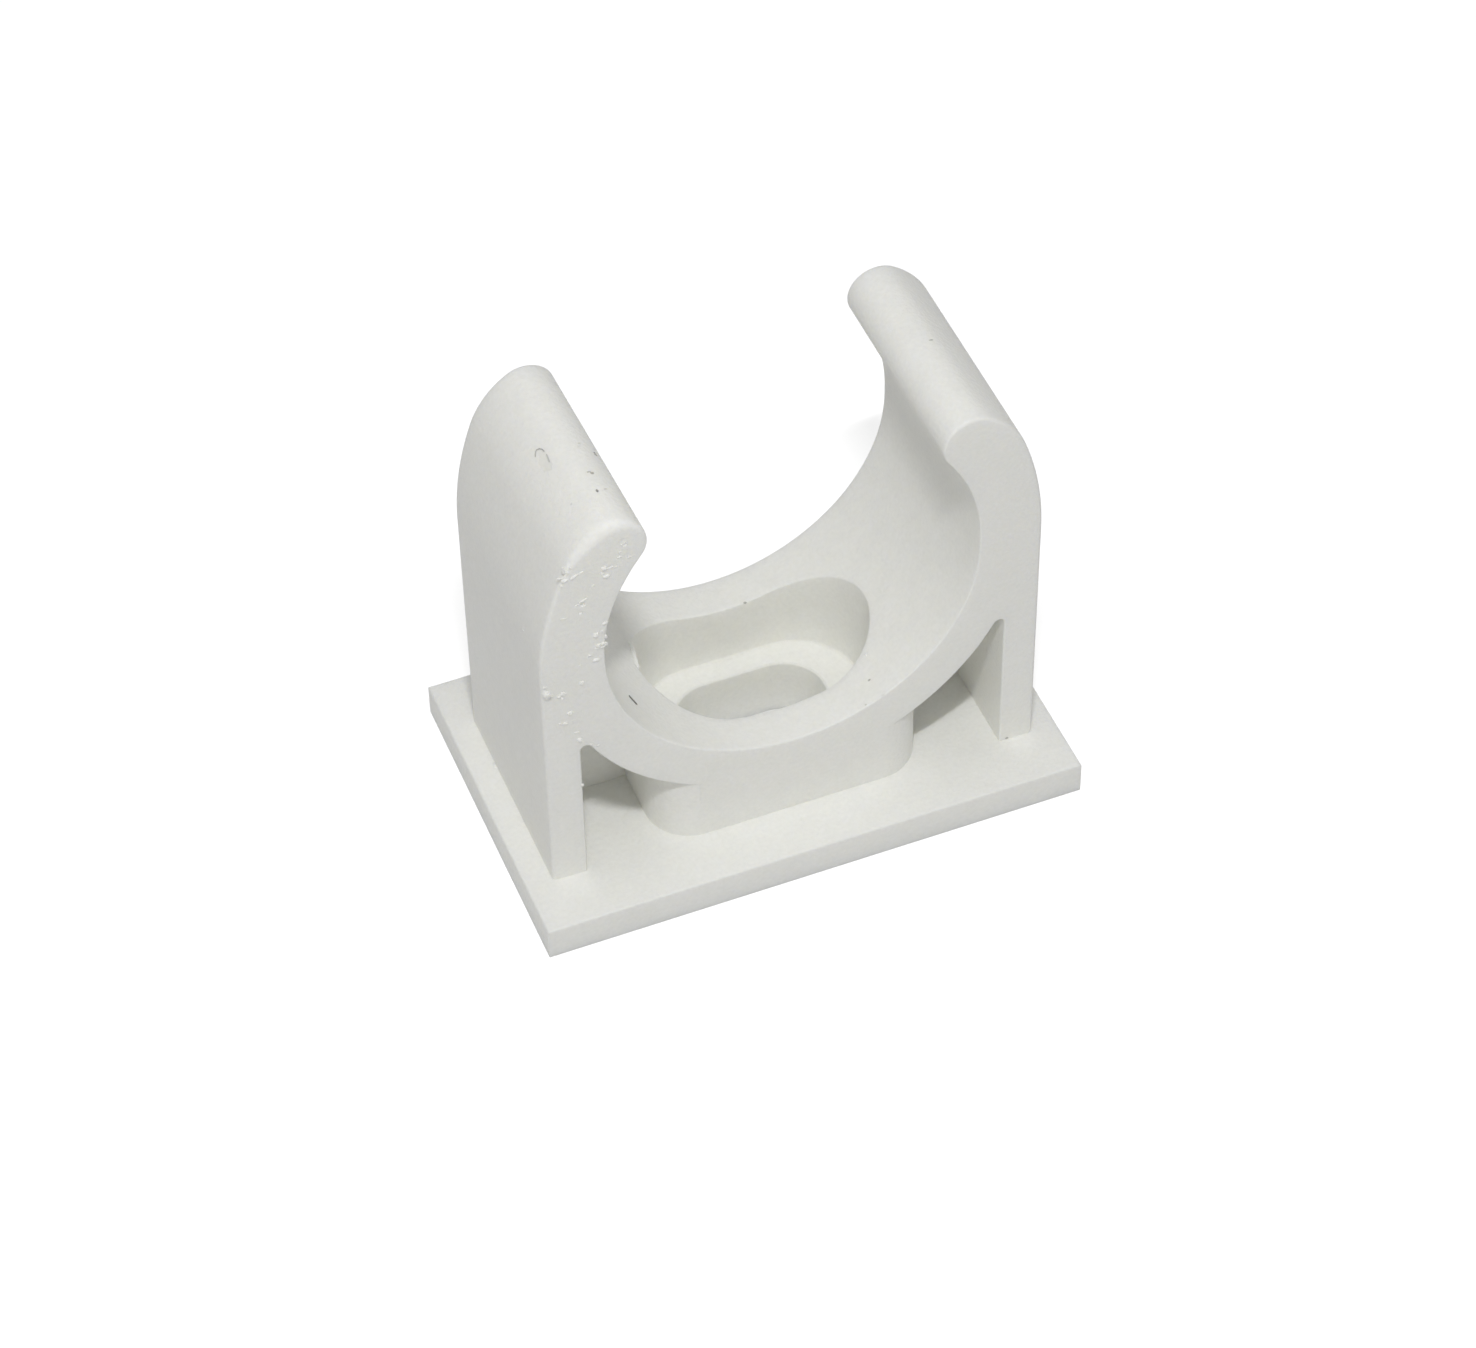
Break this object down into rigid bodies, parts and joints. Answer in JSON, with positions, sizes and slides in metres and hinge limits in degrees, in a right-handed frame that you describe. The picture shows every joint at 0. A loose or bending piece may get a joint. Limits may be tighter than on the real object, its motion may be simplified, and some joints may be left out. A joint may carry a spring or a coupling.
{
  "type": "conduit clip",
  "caption": "Moulded snap-in clip that holds a round conduit between bowed arms with lips, screwed down through a slotted boss on a rectangular base plate, with a stiffening web on each side.",
  "frame": {"origin": "middle of the base plate's underside, the face that lies on the wall or shelf", "axes": "+X along the plate's long edge and across the conduit, +Y along the conduit, +Z out of the wall towards the open mouth"},
  "size_m": [0.03, 0.0186, 0.0263],
  "materials": {
    "white_plastic": "satin moulded, off-white"
  },
  "bodies": {
    "root": {"conduit_clip": "white_plastic"}
  },
  "joints": []
}
